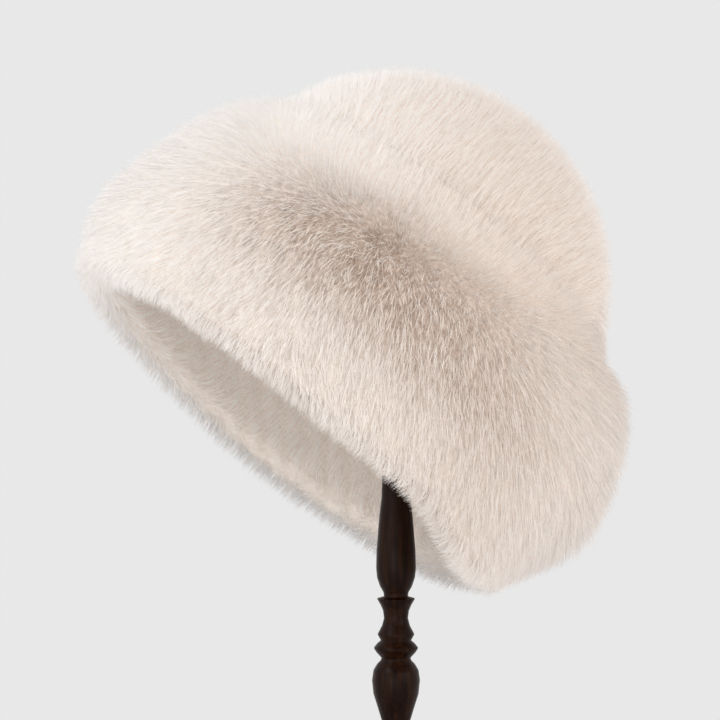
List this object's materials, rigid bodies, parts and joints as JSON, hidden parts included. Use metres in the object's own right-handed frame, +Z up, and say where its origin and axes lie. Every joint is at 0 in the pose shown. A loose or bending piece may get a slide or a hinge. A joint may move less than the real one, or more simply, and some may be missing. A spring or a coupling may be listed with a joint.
{
  "type": "fur bucket hat on turned wooden stand",
  "caption": "Cream fur bucket hat with a domed crown and a wide soft down-turned fur brim, tipped to one side on a dark turned wooden hat stand.",
  "frame": {"origin": "centre of the flat underside of the stand's base, on the stand's axis", "axes": "+Z up along the stand's axis, +X to the right of the front view and towards the side that the crown leans to, +Y to the back, so the front faces -Y"},
  "size_m": [0.2766, 0.2781, 0.3995],
  "materials": {
    "fur": "deep soft fur, cream tips over taupe roots",
    "fur_pale": "deep soft fur, pale cream",
    "pelt_skin": "matt woven backing",
    "dark_wood": "satin dark brown stain"
  },
  "bodies": {
    "root": {"crown_shell": "pelt_skin", "crown_fur": "fur_pale", "brim_shell": "pelt_skin", "brim_fur": "fur", "under_brim_fur": "fur", "stand_cap": "dark_wood", "stand_post": "dark_wood", "stand_base": "dark_wood"}
  },
  "joints": []
}
